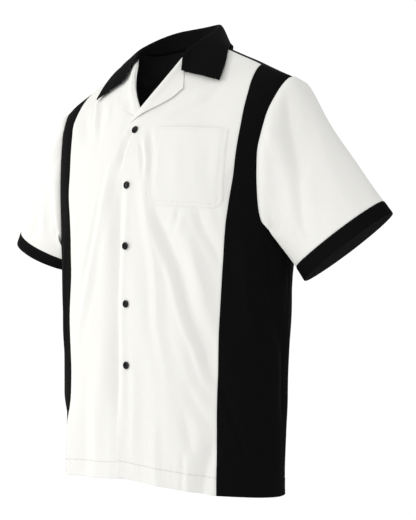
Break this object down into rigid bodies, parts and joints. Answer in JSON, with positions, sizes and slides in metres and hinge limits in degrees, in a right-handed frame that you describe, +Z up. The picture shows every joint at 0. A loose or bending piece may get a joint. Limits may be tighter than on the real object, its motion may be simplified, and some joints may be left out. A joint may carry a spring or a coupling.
{
  "type": "bowling shirt",
  "caption": "Short-sleeved bowling shirt in its worn shape: white front and sleeves, black side insets, back, cuffs and notched collar, breast pocket, dark buttons.",
  "frame": {"origin": "middle of the neck opening, level with the two points where the shoulder seams meet the collar", "axes": "+X to the wearer's left, -Y to the wearer's front, +Z up the body"},
  "size_m": [0.8297, 0.2319, 0.7943],
  "materials": {
    "white_cloth": "fine plain weave, matt, warm white",
    "black_cloth": "fine plain weave, matt black",
    "button": "polished black plastic"
  },
  "bodies": {
    "root": {"front_left": "white_cloth", "front_right": "white_cloth", "side_front_left": "black_cloth", "side_front_right": "black_cloth", "back": "black_cloth", "sleeve_left": "white_cloth", "sleeve_right": "white_cloth", "cuff_left": "black_cloth", "cuff_right": "black_cloth", "collar": "black_cloth", "lapel_left": "white_cloth", "lapel_right": "white_cloth", "pocket": "white_cloth", "button_1": "button", "button_2": "button", "button_3": "button", "button_4": "button", "button_5": "button"}
  },
  "joints": []
}
